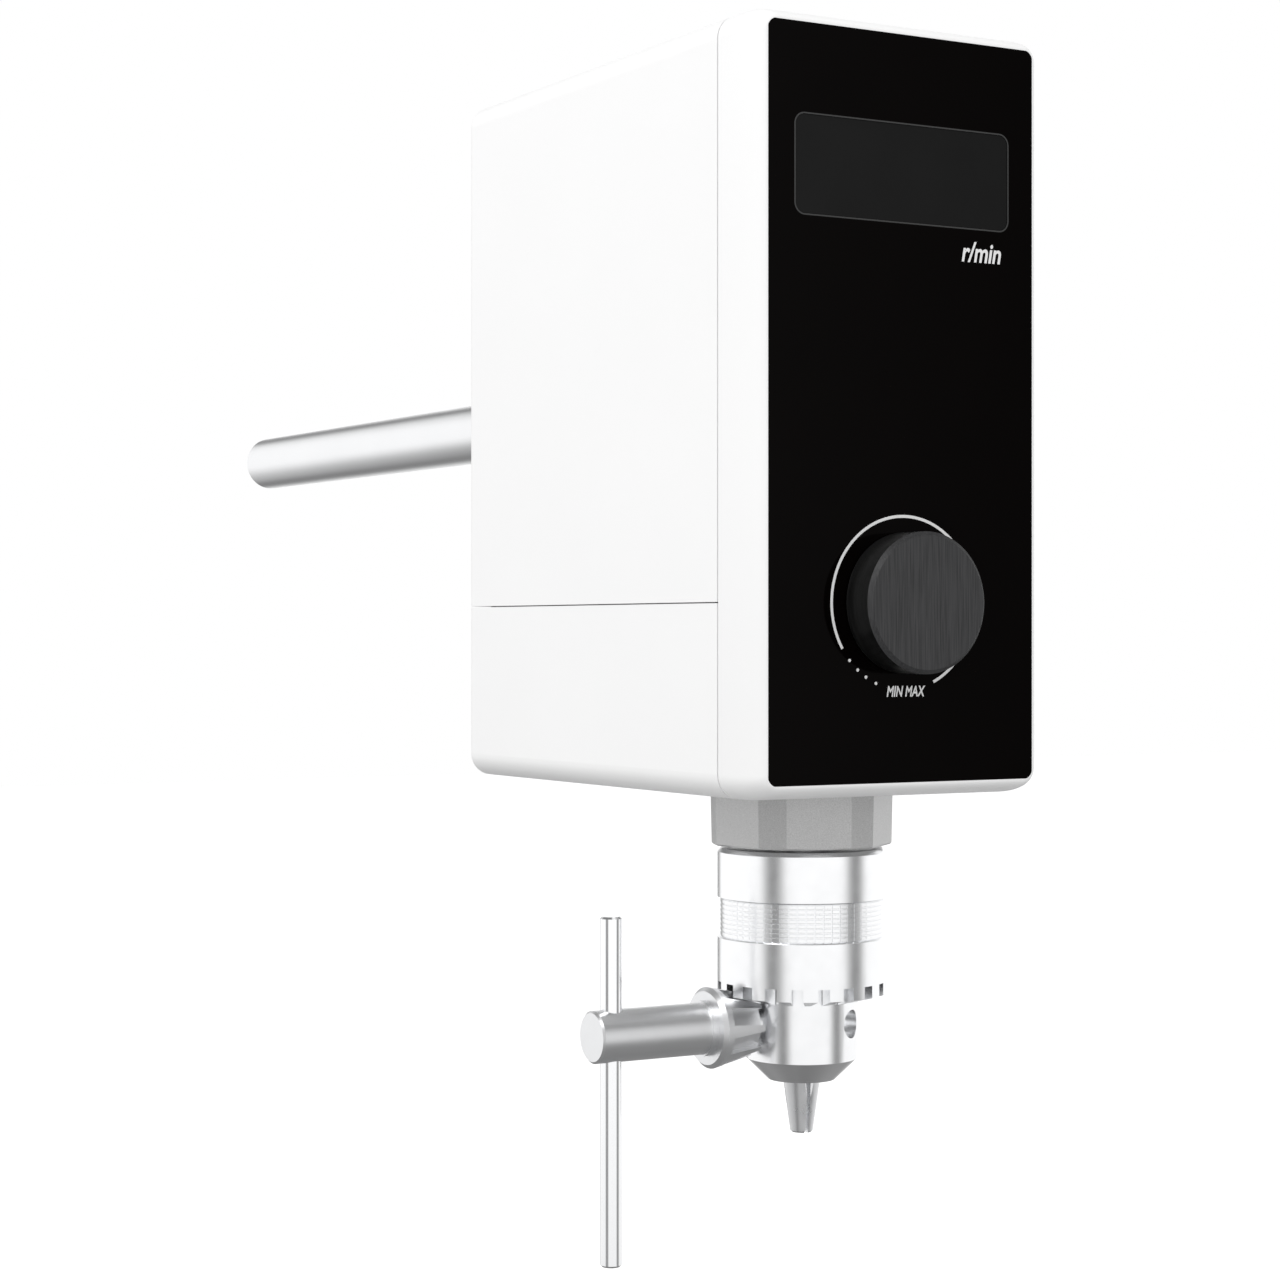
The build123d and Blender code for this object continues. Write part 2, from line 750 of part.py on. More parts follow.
# Motor can: a thick tube that stands on the chassis base around the stator.
with BuildPart() as motor_can:
    with BuildSketch(level(base_top)):
        Circle(motor_radius)
        Circle(motor_radius - motor_wall, mode=Mode.SUBTRACT)
        with PolarLocations(motor_bolt_circle, motor_bolt_count, start_angle=motor_bolt_turn):
            Circle(screw_radius + screw_clearance, mode=Mode.SUBTRACT)
    extrude(amount=motor_length)
save(motor_can, "motor_can")

# Motor end bell: closes the can and seats the upper bearing.
with BuildPart() as motor_end_bell:
    with BuildSketch(level(motor_top)):
        Circle(motor_radius)
        with PolarLocations(motor_bolt_circle, motor_bolt_count, start_angle=motor_bolt_turn):
            Circle(screw_radius + screw_clearance, mode=Mode.SUBTRACT)
    extrude(amount=end_bell_thickness)
    with BuildSketch(level(motor_top)):
        Circle(upper_race)
    extrude(amount=bearing_width, mode=Mode.SUBTRACT)
    chamfer(motor_end_bell.faces().sort_by(Axis.Z)[-1].outer_wire().edges(), length=end_bell_edge)
save(motor_end_bell, "motor_end_bell")

# Motor bolts: four long through bolts from the end bell into the chassis base.
with BuildPart() as motor_bolts:
    with BuildSketch(level(end_bell_top)):
        with PolarLocations(motor_bolt_circle, motor_bolt_count, start_angle=motor_bolt_turn):
            Circle(motor_bolt_head)
    extrude(amount=screw_head_height)
    with BuildSketch(level(end_bell_top)):
        with PolarLocations(motor_bolt_circle, motor_bolt_count, start_angle=motor_bolt_turn):
            Circle(screw_radius)
    extrude(amount=-(end_bell_thickness + motor_length + base_thickness / 2))
save(motor_bolts, "motor_bolts")

# Stator core: the laminated ring with its nine teeth.
with BuildPart() as stator_core:
    with BuildSketch(level(stack_bottom)):
        Circle(motor_radius - motor_wall)
        Circle(stator_yoke, mode=Mode.SUBTRACT)
        with PolarLocations((stator_bore + stator_yoke + tooth_root) / 2, tooth_count):
            Rectangle(stator_yoke + tooth_root - stator_bore - tooth_shoe / 2, tooth_width)
    extrude(amount=stack_length)
    with BuildSketch(level(stack_bottom)):
        for n in range(tooth_count):
            start = 360 * n / tooth_count - tooth_shoe_angle / 2
            with BuildLine():
                outer = CenterArc((0, 0), stator_bore + tooth_shoe, start, tooth_shoe_angle)
                inner = CenterArc((0, 0), stator_bore, start, tooth_shoe_angle)
                Line(outer @ 0, inner @ 0)
                Line(outer @ 1, inner @ 1)
            make_face()
    extrude(amount=stack_length)
save(stator_core, "stator_core")

# Winding coils: one around each stator tooth.
coil_width = tooth_width + 2 * coil_clearance
coil_height = stack_length + 2 * coil_clearance
with BuildPart() as winding_coils:
    for n in range(tooth_count):
        turn = radians(360 * n / tooth_count)
        face = Plane(origin=(coil_inner * cos(turn), coil_inner * sin(turn) - spindle_to_rear, stack_middle),
                     x_dir=(-sin(turn), cos(turn), 0), z_dir=(cos(turn), sin(turn), 0))
        with BuildSketch(face):
            Rectangle(coil_width + 2 * coil_thickness, coil_height + 2 * coil_end)
            Rectangle(coil_width, coil_height, mode=Mode.SUBTRACT)
        extrude(amount=coil_outer - coil_inner)
save(winding_coils, "winding_coils")

# Rotor core and its magnets, pressed on the spindle.
with BuildPart() as rotor_core:
    with BuildSketch(level(stack_bottom)):
        Circle(rotor_core_radius)
        Circle(shaft_radius, mode=Mode.SUBTRACT)
    extrude(amount=stack_length)
save(rotor_core, "rotor_core")

with BuildPart() as rotor_magnets:
    with BuildSketch(level(stack_bottom)):
        for n in range(magnet_count):
            start = 360 * n / magnet_count
            with BuildLine():
                outer = CenterArc((0, 0), rotor_core_radius + magnet_thickness, start, magnet_angle)
                inner = CenterArc((0, 0), rotor_core_radius, start, magnet_angle)
                Line(outer @ 0, inner @ 0)
                Line(outer @ 1, inner @ 1)
            make_face()
    extrude(amount=stack_length)
save(rotor_magnets, "rotor_magnets")

# Power board, on four posts of the chassis behind the motor, with its transformer and capacitor.
power_board_z = base_top + power_post_height
with BuildPart() as power_board:
    with BuildSketch(Plane.XY.offset(power_board_z)):
        with Locations((0, power_board_y)):
            Rectangle(power_board_width, power_board_length)
            with GridLocations(power_screws_across, power_screws_along, 2, 2):
                Circle(small_screw + screw_clearance, mode=Mode.SUBTRACT)
    extrude(amount=board_thickness)
save(power_board, "power_board")

with BuildPart() as power_board_screws:
    with BuildSketch(Plane.XY.offset(power_board_z + board_thickness)):
        with Locations((0, power_board_y)):
            with GridLocations(power_screws_across, power_screws_along, 2, 2):
                Circle(small_screw_head)
    extrude(amount=small_screw_head_height)
    with BuildSketch(Plane.XY.offset(power_board_z + board_thickness)):
        with Locations((0, power_board_y)):
            with GridLocations(power_screws_across, power_screws_along, 2, 2):
                Circle(small_screw)
    extrude(amount=-board_thickness - small_screw_bite)
save(power_board_screws, "power_board_screws")

with BuildPart() as transformer:
    with BuildSketch(Plane.XY.offset(power_board_z + board_thickness)):
        with Locations((transformer_offset, power_board_y)):
            Rectangle(transformer_width, transformer_length)
    extrude(amount=transformer_height)
save(transformer, "transformer")

with BuildPart() as bulk_capacitor:
    with BuildSketch(Plane.XY.offset(power_board_z + board_thickness)):
        with Locations((capacitor_offset, power_board_y)):
            Circle(capacitor_radius)
    extrude(amount=capacitor_height)
save(bulk_capacitor, "bulk_capacitor")

# Power inlet: a snap-in appliance socket in the rear wall, with its three contact blades.
with BuildPart() as power_inlet:
    with BuildSketch(front_view(-inlet_flange)):
        with Locations((inlet_offset, fittings_z)):
            Rectangle(inlet_width + 2 * inlet_lip, inlet_height + 2 * inlet_lip)
    extrude(amount=inlet_flange)
    with BuildSketch(front_view(0)):
        with Locations((inlet_offset, fittings_z)):
            Rectangle(inlet_width, inlet_height)
    extrude(amount=inlet_depth)
    with BuildSketch(front_view(-inlet_flange)) as socket:
        with Locations((inlet_offset, fittings_z)):
            Rectangle(inlet_socket_width, inlet_socket_height)
        chamfer(socket.vertices().group_by(Axis.Y)[-1], length=inlet_key_corner)
    extrude(amount=inlet_socket_depth, mode=Mode.SUBTRACT)
save(power_inlet, "power_inlet")

with BuildPart() as inlet_blades:
    with BuildSketch(front_view(inlet_socket_depth - inlet_flange)):
        with Locations((inlet_offset - blade_spacing, fittings_z - blade_rise),
                       (inlet_offset + blade_spacing, fittings_z - blade_rise),
                       (inlet_offset, fittings_z + 2 * blade_rise)):
            Rectangle(blade_width, blade_height)
    extrude(amount=-blade_length)
save(inlet_blades, "inlet_blades")

# Power switch: a rocker in a snap-in frame beside the inlet, at rest in its off position.
rocker_y = switch_flange - rocker_pivot_depth
rocker_axis = Axis((0, rocker_y, fittings_z), (1, 0, 0))
rocker_half = sqrt(rocker_radius ** 2 - rocker_reach ** 2)
with BuildPart() as switch_frame:
    with BuildSketch(front_view(-switch_flange)):
        with Locations((switch_offset, fittings_z)):
            Rectangle(switch_width + 2 * switch_lip, switch_height + 2 * switch_lip)
    extrude(amount=switch_flange)
    with BuildSketch(front_view(0)):
        with Locations((switch_offset, fittings_z)):
            Rectangle(switch_width, switch_height)
    extrude(amount=switch_depth)
    with BuildSketch(front_view(-switch_flange)):
        with Locations((switch_offset, fittings_z)):
            Rectangle(rocker_width + 2 * rocker_clearance, 2 * rocker_radius + 2 * rocker_clearance)
    extrude(amount=rocker_well_depth, mode=Mode.SUBTRACT)
save(switch_frame, "switch_frame")

rocker_plane = Plane(origin=(switch_offset, rocker_y, fittings_z), x_dir=(0, 1, 0), z_dir=(1, 0, 0))
with BuildPart() as switch_rocker:
    with BuildSketch(rocker_plane):
        with BuildLine():
            Polyline((rocker_half, -rocker_reach), (rocker_half - rocker_dip, 0), (rocker_half, rocker_reach))
            ThreePointArc((rocker_half, rocker_reach), (0, rocker_radius), (-rocker_half, rocker_reach))
            Line((-rocker_half, rocker_reach), (-rocker_half, -rocker_reach))
            ThreePointArc((-rocker_half, -rocker_reach), (0, -rocker_radius), (rocker_half, -rocker_reach))
        make_face()
    extrude(amount=rocker_width / 2, both=True)
    fillet(switch_rocker.edges().filter_by(Axis.X).sort_by(Axis.Y)[-2:], radius=rocker_edge)
switch_rocker.part = switch_rocker.part.rotate(rocker_axis, rocker_tilt)
save(switch_rocker, "switch_rocker")

# Cover screws: two pan heads that fix the upper cover to the chassis upright.
with BuildPart() as cover_screws:
    with BuildSketch(front_view(0)):
        with Locations((-cover_screw_x, cover_screw_z), (cover_screw_x, cover_screw_z)):
            Circle(cover_screw_head)
    extrude(amount=-cover_screw_head_height)
    chamfer(cover_screws.faces().group_by(Axis.Y)[-1].edges(), length=cover_screw_edge)
    with BuildSketch(front_view(0)):
        with Locations((-cover_screw_x, cover_screw_z), (cover_screw_x, cover_screw_z)):
            Circle(cover_screw_radius)
    extrude(amount=cover_screw_depth)
save(cover_screws, "cover_screws")

# Base screws: four countersunk screws up through the lower cover's floor into the chassis.
with BuildPart() as base_screws:
    with BuildSketch(Plane.XY.offset(floor_z)):
        with Locations(*base_screw_places):
            Circle(base_screw_head)
    extrude(amount=base_screw_head - base_screw_radius, taper=countersink_angle / 2)
    with BuildSketch(Plane.XY.offset(floor_z)):
        with Locations(*base_screw_places):
            Circle(base_screw_radius)
    extrude(amount=base_screw_length)
save(base_screws, "base_screws")


def jaw_plane(turn, height):
    """The plane across a jaw's leaning axis where that axis is at a height."""
    out = jaw_axis_at_tip + (height - jaw_tip) * tan(radians(jaw_lean))
    along = (cos(radians(turn)), sin(radians(turn)))
    lean = radians(jaw_lean)
    return Plane(origin=(out * along[0], out * along[1] - spindle_to_rear, height),
                 x_dir=(-along[1], along[0], 0),
                 z_dir=(sin(lean) * along[0], sin(lean) * along[1], cos(lean)))


# Chuck body: a turned nose with the rod's bore, the spindle's socket, three leaning jaw bores
# and three pilot holes for the key.
jaw_turns = [jaw_turn + 360 * n / jaw_count for n in range(jaw_count)]
nut_running = nut_inner_bottom - body_running
with BuildPart() as chuck_body:
    with BuildSketch(Plane.XZ.offset(spindle_to_rear)):
        with BuildLine():
            Polyline((0, nose_bottom), (nose_cone_radius, nose_bottom), (nose_radius, nose_corner),
                     (nose_radius, nut_bottom - body_running), (nut_running, nut_bottom - body_running),
                     (nut_running, nut_top + body_running), (body_radius, nut_top + body_running),
                     (body_radius, chuck_top - flange_height),
                     (sleeve_inner - body_running, chuck_top - flange_height),
                     (sleeve_inner - body_running, chuck_top), (0, chuck_top), close=True)
        make_face()
    revolve(axis=chuck_axis)
    with BuildSketch(level(chuck_top)):
        Circle(shaft_radius)
    extrude(amount=-socket_depth, mode=Mode.SUBTRACT)
    with BuildSketch(level(nose_bottom)):
        Circle(rod_bore)
    extrude(amount=rod_bore_depth, mode=Mode.SUBTRACT)
    for turn in jaw_turns:
        with BuildSketch(jaw_plane(turn, jaw_tip)):
            Circle(jaw_radius + jaw_clearance)
        extrude(amount=jaw_bore_height / cos(radians(jaw_lean)), mode=Mode.SUBTRACT)
    with BuildSketch(Plane.YZ.offset(-nose_radius)):
        with Locations((-spindle_to_rear, pilot_z)):
            Circle(pilot_radius + pilot_hole_clearance)
    pilot_cut = extrude(amount=pilot_hole_depth, mode=Mode.PRIVATE)
    for n in range(jaw_count):
        add(pilot_cut.rotate(chuck_axis, 360 * n / jaw_count), mode=Mode.SUBTRACT)
save(chuck_body, "chuck_body")

# Chuck nut: a split ring that rides in the body's groove and turns with the sleeve.
with BuildPart() as chuck_nut:
    with BuildSketch(Plane.XZ.offset(spindle_to_rear)):
        with BuildLine():
            Polyline((nut_inner_bottom, nut_bottom), (sleeve_inner, nut_bottom), (sleeve_inner, nut_top),
                     (nut_inner_top, nut_top), close=True)
        make_face()
    revolve(axis=chuck_axis)
    with BuildSketch(level(nut_bottom)):
        Rectangle(2 * sleeve_radius, nut_split)
    extrude(amount=nut_height, mode=Mode.SUBTRACT)
save(chuck_nut, "chuck_nut")

# Chuck sleeve: the turned outer ring with its waist for the knurl and a crown of teeth below.
with BuildPart() as chuck_sleeve:
    with BuildSketch(Plane.XZ.offset(spindle_to_rear)):
        with BuildLine():
            Polyline((sleeve_inner, sleeve_top), (sleeve_radius - sleeve_chamfer, sleeve_top),
                     (sleeve_radius, sleeve_top - sleeve_chamfer),
                     (sleeve_radius, sleeve_top - band_top), (band_radius, sleeve_top - band_top - band_edge),
                     (band_radius, sleeve_top - band_top - band_height + band_edge),
                     (sleeve_radius, sleeve_top - band_top - band_height),
                     (sleeve_radius, sleeve_bottom), (lip_inner, lip_bottom), (lip_inner, nut_bottom),
                     (sleeve_inner, nut_bottom), close=True)
        make_face()
    revolve(axis=chuck_axis)
    with BuildSketch(level(sleeve_bottom + crown_depth)):
        with PolarLocations((lip_inner + sleeve_radius) / 2, crown_teeth, start_angle=180):
            Rectangle(2 * (sleeve_radius - lip_inner), crown_gap)
    extrude(amount=-crown_depth - 2 * lip_drop, mode=Mode.SUBTRACT)
save(chuck_sleeve, "chuck_sleeve")

# Jaws: three leaning rods, cut to wedges that meet at the axis and ground to a common cone.
jaw_half_angle = radians(180 / jaw_count)
jaw_apex = jaw_gap / 2 / sin(jaw_half_angle)
jaw_shoulder = nose_bottom + jaw_shoulder_inside
for n, turn in enumerate(jaw_turns):
    with BuildPart() as jaw:
        with BuildSketch(jaw_plane(turn, jaw_tip - jaw_radius)):
            Circle(jaw_radius)
        extrude(amount=(jaw_height + 2 * jaw_radius) / cos(radians(jaw_lean)))
        with BuildSketch(Plane.XZ.offset(spindle_to_rear)):
            with BuildLine():
                Polyline((0, jaw_tip), (jaw_tip_radius - jaw_tip_chamfer, jaw_tip),
                         (jaw_tip_radius, jaw_tip + jaw_tip_chamfer), (jaw_cone_radius, jaw_shoulder),
                         (sleeve_inner, jaw_shoulder), (sleeve_inner, jaw_tip + jaw_height),
                         (0, jaw_tip + jaw_height), close=True)
            make_face()
        revolve(axis=chuck_axis, mode=Mode.INTERSECT)
        with BuildSketch(level(jaw_tip, turn)):
            with BuildLine():
                Polyline((jaw_apex, 0), (jaw_apex + sleeve_inner, sleeve_inner * tan(jaw_half_angle)),
                         (jaw_apex + sleeve_inner, -sleeve_inner * tan(jaw_half_angle)), close=True)
            make_face()
        extrude(amount=jaw_height, mode=Mode.INTERSECT)
    save(jaw, "jaw_%d" % (n + 1))

# Key pilot: the pin on the key's axis that centres it in one of the body's three holes.
with BuildPart() as key_pilot:
    with BuildSketch(Plane.YZ.offset(-(nose_radius - pilot_hole_depth + pilot_end_clearance))):
        with Locations((-spindle_to_rear, pilot_z)):
            Circle(pilot_radius)
    extrude(amount=-(key_front + key_bore_depth - pilot_end_clearance
                     - nose_radius + pilot_hole_depth - pilot_end_clearance))
    chamfer(key_pilot.faces().sort_by(Axis.X)[-1].edges(), length=bar_chamfer)
save(key_pilot, "key_pilot")

# Key: a bevel pinion with milled slots, a rim, a ring and the shank, turned from one bar.
key_root_slope = (key_root_end - key_root_front) / (key_slot_end - key_front)
key_slot_start = key_front - key_slot_overrun
with BuildPart() as key_slot_cut:
    with BuildSketch(Plane.XZ.offset(spindle_to_rear)):
        with BuildLine():
            Polyline((-key_slot_start, pilot_z + key_root_front - key_slot_overrun * key_root_slope),
                     (-key_slot_end, pilot_z + key_root_end), (-key_slot_end, pilot_z + 2 * key_rim_radius),
                     (-key_slot_start, pilot_z + 2 * key_rim_radius), close=True)
        make_face()
    extrude(amount=key_slot / 2, both=True)

with BuildPart() as key_body:
    with BuildSketch(Plane.XZ.offset(spindle_to_rear)):
        with BuildLine():
            Polyline((-key_front, pilot_z + pilot_radius + running_clearance),
                     (-key_front, pilot_z + key_front_radius), (-key_rim, pilot_z + key_rim_radius),
                     (-key_rim - key_rim_chamfer, pilot_z + key_rim_radius - key_rim_chamfer),
                     (-key_rim - key_rim_chamfer, pilot_z + key_ring_radius),
                     (-key_rim - key_rim_chamfer - key_ring_length, pilot_z + key_ring_radius),
                     (-key_rim - key_rim_chamfer - key_ring_length, pilot_z + key_shank_radius),
                     (-key_end + key_end_chamfer, pilot_z + key_shank_radius),
                     (-key_end, pilot_z + key_shank_radius - key_end_chamfer), (-key_end, pilot_z),
                     (-key_front - key_bore_depth, pilot_z),
                     (-key_front - key_bore_depth, pilot_z + pilot_radius + running_clearance), close=True)
        make_face()
    revolve(axis=key_axis)
    for n in range(key_teeth):
        add(key_slot_cut.part.rotate(key_axis, 360 * (n + 0.5) / key_teeth), mode=Mode.SUBTRACT)
    with BuildSketch(Plane.XY.offset(pilot_z)):
        with Locations((-bar_place, -spindle_to_rear)):
            Circle(bar_radius + running_clearance)
    extrude(amount=2 * key_shank_radius, both=True, mode=Mode.SUBTRACT)
save(key_body, "key_body")

# Key bar: a plain cross bar that slides in the shank, at rest with its long end down.
with BuildPart() as key_bar:
    with BuildSketch(Plane.XY.offset(pilot_z + bar_above_key)):
        with Locations((-bar_place, -spindle_to_rear)):
            Circle(bar_radius)
    extrude(amount=-bar_length)
    chamfer(key_bar.edges().filter_by(GeomType.CIRCLE), length=bar_chamfer)
save(key_bar, "key_bar")
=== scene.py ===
import math

import bpy
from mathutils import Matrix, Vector


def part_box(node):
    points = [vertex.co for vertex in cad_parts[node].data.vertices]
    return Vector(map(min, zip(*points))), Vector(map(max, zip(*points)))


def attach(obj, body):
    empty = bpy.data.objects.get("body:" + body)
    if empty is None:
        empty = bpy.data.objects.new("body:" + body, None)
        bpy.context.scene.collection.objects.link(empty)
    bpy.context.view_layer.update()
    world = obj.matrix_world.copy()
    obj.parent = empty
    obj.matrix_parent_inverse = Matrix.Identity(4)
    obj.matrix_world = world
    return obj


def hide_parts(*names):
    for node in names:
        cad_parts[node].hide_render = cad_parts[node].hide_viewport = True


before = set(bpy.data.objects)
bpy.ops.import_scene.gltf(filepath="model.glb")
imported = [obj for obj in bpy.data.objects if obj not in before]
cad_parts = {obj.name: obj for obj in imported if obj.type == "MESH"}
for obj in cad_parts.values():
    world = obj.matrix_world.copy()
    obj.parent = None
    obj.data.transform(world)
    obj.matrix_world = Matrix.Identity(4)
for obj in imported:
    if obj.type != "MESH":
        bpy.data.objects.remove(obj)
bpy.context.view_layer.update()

# Upper and lower cover
# Two white moulded shells that part along a thin side seam: a deep hood above and a shallow tray below.
# They are satin ABS with a very fine mould grain, screwed to the casting inside.

white_colour = (0.95, 0.95, 0.95)
white_roughness = 0.42
white_grain = 0.0004
white_depth = 0.000002
noise_low = 0.3
noise_high = 0.7
colour_spots = 100
gloss_spots = 12
colour_drift = 0.005
gloss_drift = 0.03


def new_finish(name, colour, roughness, metallic=0.0, specular=0.5):
    """A material whose shader has its even values set, ready for the nodes that vary it."""
    material = bpy.data.materials.new(name)
    material.use_nodes = True
    shader = material.node_tree.nodes["Principled BSDF"]
    shader.inputs["Base Color"].default_value = (*colour, 1)
    shader.inputs["Roughness"].default_value = roughness
    shader.inputs["Metallic"].default_value = metallic
    shader.inputs["Specular IOR Level"].default_value = specular
    return material


def grain(material, size, stretch=(1, 1, 1), detail=2.0):
    """A noise on the piece itself whose spots are about a size across, drawn out along the stretched axes."""
    tree = material.node_tree
    place = tree.nodes.new("ShaderNodeTexCoord")
    mapping = tree.nodes.new("ShaderNodeMapping")
    mapping.inputs["Scale"].default_value = [1 / (size * s) for s in stretch]
    noise = tree.nodes.new("ShaderNodeTexNoise")
    noise.inputs["Scale"].default_value = 1.0
    noise.inputs["Detail"].default_value = detail
    tree.links.new(place.outputs["Object"], mapping.inputs["Vector"])
    tree.links.new(mapping.outputs["Vector"], noise.inputs["Vector"])
    return noise.outputs["Fac"]


def tone(material, source, dark, light):
    """A colour that runs from dark to light as the source rises through its usual range."""
    ramp = material.node_tree.nodes.new("ShaderNodeValToRGB")
    ramp.color_ramp.elements[0].position = noise_low
    ramp.color_ramp.elements[0].color = (*dark, 1)
    ramp.color_ramp.elements[1].position = noise_high
    ramp.color_ramp.elements[1].color = (*light, 1)
    material.node_tree.links.new(source, ramp.inputs["Fac"])
    return ramp.outputs["Color"]


def tint(material, source, dark, light):
    """Colours the surface from dark to light as the source rises."""
    tree = material.node_tree
    tree.links.new(tone(material, source, dark, light), tree.nodes["Principled BSDF"].inputs["Base Color"])


def polish(material, source, low, high):
    """Varies the roughness between two values as the source rises."""
    tree = material.node_tree
    spread = tree.nodes.new("ShaderNodeMapRange")
    spread.inputs["From Min"].default_value = noise_low
    spread.inputs["From Max"].default_value = noise_high
    spread.inputs["To Min"].default_value = low
    spread.inputs["To Max"].default_value = high
    tree.links.new(source, spread.inputs["Value"])
    tree.links.new(spread.outputs["Result"], tree.nodes["Principled BSDF"].inputs["Roughness"])


def relief(material, source, depth):
    """Raises the surface with the source, by a depth in metres."""
    tree = material.node_tree
    bump = tree.nodes.new("ShaderNodeBump")
    bump.inputs["Distance"].default_value = depth
    tree.links.new(source, bump.inputs["Height"])
    tree.links.new(bump.outputs["Normal"], tree.nodes["Principled BSDF"].inputs["Normal"])


def dress(material, *names):
    """Gives the finish to pieces that the frame already holds."""
    for name in names:
        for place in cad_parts[name].material_slots:
            place.material = material


def shade(colour, factor):
    """A colour made darker or lighter by a factor."""
    return tuple(min(1.0, part * factor) for part in colour)


def moulded(name, colour, roughness, spot, depth):
    """A moulded or cast surface: a fine grain left by the tool, with a slow drift of colour and gloss."""
    material = new_finish(name, colour, roughness)
    tint(material, grain(material, colour_spots * spot), shade(colour, 1 - colour_drift),
         shade(colour, 1 + colour_drift))
    polish(material, grain(material, gloss_spots * spot), roughness * (1 - gloss_drift),
           roughness * (1 + gloss_drift))
    relief(material, grain(material, spot), depth)
    return material


white_plastic = moulded("white_plastic", white_colour, white_roughness, white_grain, white_depth)
dress(white_plastic, "upper_cover", "lower_cover")

# Front cover
# A moulded white frame that closes the shells and holds the panel in a shallow pocket.
# Its outer edge sweeps in to the panel on a long soft curve, and a tongue behind enters the shells.

low_corner, high_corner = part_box("front_cover")
panel_low, panel_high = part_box("front_panel")
shell_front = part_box("upper_cover")[0].y
cover_middle = (low_corner.z + high_corner.z) / 2
cover_half = Vector((high_corner.x, 0, (high_corner.z - low_corner.z) / 2))
panel_half = Vector((panel_high.x, 0, (panel_high.z - panel_low.z) / 2))
cover_corner = 0.006
cover_wall = 0.0025
soft_depth = 0.013
flat_before_sweep = 0.0013
soft_side = 0.003
soft_top = 0.0036
soft_steps = 28
corner_steps = 10
panel_corner = 0.002
panel_gap = 0.0001
tongue_length = 0.003
tongue_inset = 0.0002
tongue_thickness = 0.0012
seam = 0.0005


def outline(half_width, half_height, corner, y, middle):
    """Points round a rounded rectangle that faces the front, anticlockwise from its right side."""
    points = []
    for quarter, (side, top) in enumerate(((1, 1), (-1, 1), (-1, -1), (1, -1))):
        for step in range(corner_steps + 1):
            angle = math.radians(90 * (quarter + step / corner_steps))
            points.append(Vector((side * (half_width - corner) + corner * math.cos(angle), y,
                                  middle + top * (half_height - corner) + corner * math.sin(angle))))
    return points


def skin(name, loops, material, capped=True):
    """A piece skinned over loops that have the same number of points, with both ends capped or open."""
    count = len(loops[0])
    points = [point for loop in loops for point in loop]
    faces = []
    for level in range(len(loops) - 1):
        for n in range(count):
            after = (n + 1) % count
            faces.append((level * count + n, level * count + after,
                          (level + 1) * count + after, (level + 1) * count + n))
    if capped:
        faces.append(tuple(reversed(range(count))))
        faces.append(tuple(range((len(loops) - 1) * count, len(loops) * count)))
    return solid(name, points, faces, material)


def solid(name, points, faces, material, sharp=35):
    """A mesh piece from its points and faces, shaded smooth but for edges sharper than an angle."""
    mesh = bpy.data.meshes.new(name)
    mesh.from_pydata([tuple(point) for point in points], [], faces)
    mesh.validate()
    mesh.materials.append(material)
    mesh.shade_smooth()
    mesh.set_sharp_from_angle(angle=math.radians(sharp))
    piece = bpy.data.objects.new(name, mesh)
    bpy.context.scene.collection.objects.link(piece)
    return piece


back_y = shell_front - seam
pocket_y = panel_high.y
cavity_y = pocket_y + cover_wall
inner_half = cover_half - Vector((cover_wall, 0, cover_wall))
tongue_outer = inner_half - Vector((tongue_inset, 0, tongue_inset))
tongue_inner = tongue_outer - Vector((tongue_thickness, 0, tongue_thickness))
inner_corner = cover_corner - cover_wall
front_loops = [
    outline(tongue_inner.x, tongue_inner.z, inner_corner, cavity_y, cover_middle),
    outline(tongue_inner.x, tongue_inner.z, inner_corner, back_y + tongue_length, cover_middle),
    outline(tongue_outer.x, tongue_outer.z, inner_corner, back_y + tongue_length, cover_middle),
    outline(tongue_outer.x, tongue_outer.z, inner_corner, back_y, cover_middle),
    outline(cover_half.x, cover_half.z, cover_corner, back_y, cover_middle),
    outline(cover_half.x, cover_half.z, cover_corner, low_corner.y + soft_depth + flat_before_sweep,
            cover_middle),
]
for step in range(soft_steps + 1):
    turn = math.pi / 2 * step / soft_steps
    side_in = soft_side * (1 - math.cos(turn))
    top_in = soft_top * (1 - math.cos(turn))
    front_loops.append(outline(cover_half.x - side_in, cover_half.z - top_in, cover_corner - side_in,
                               low_corner.y + soft_depth * (1 - math.sin(turn)), cover_middle))
for y in (low_corner.y, pocket_y):
    front_loops.append(outline(panel_half.x + panel_gap, panel_half.z + panel_gap,
                               panel_corner + panel_gap, y, cover_middle))
front_shell = skin("front_shell", front_loops, white_plastic)
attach(front_shell, "housing")
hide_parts("front_cover")

# Front panel and its print
# A glossy black sheet laid flush in the front cover, screen printed from the front in white.
# The print is a speed ring that breaks into dots at its slow end, and two small marks.

panel_colour = (0.0012, 0.0007, 0.0006)
print_colour = (0.86, 0.86, 0.86)
print_thickness = 0.00003
ring_radius = 0.0207
ring_width = 0.0007
ring_start = 211.5
ring_end = -65.5
ring_steps = 96
dot_angles = (221, 230, 238, 247)
dot_radius = 0.0004
dot_sides = 16
letter_slant = 0.22
letter_weight = 0.02
unit_size = (0.0118, 0.0050)
unit_corner = (0.0288, 0.0279)
range_size = (0.0112, 0.0026)
range_centre = 0.0006
range_drop = 0.0223
text_depth = 0.01
knob_low, knob_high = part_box("speed_knob")
knob_z = (knob_low.z + knob_high.z) / 2
panel_face = panel_low.y

panel_gloss = new_finish("panel_gloss", panel_colour, roughness=0.06, specular=0.05)
tint(panel_gloss, grain(panel_gloss, size=0.02), shade(panel_colour, 0.9), shade(panel_colour, 1.1))
polish(panel_gloss, grain(panel_gloss, size=0.004), low=0.05, high=0.08)
dress(panel_gloss, "front_panel")

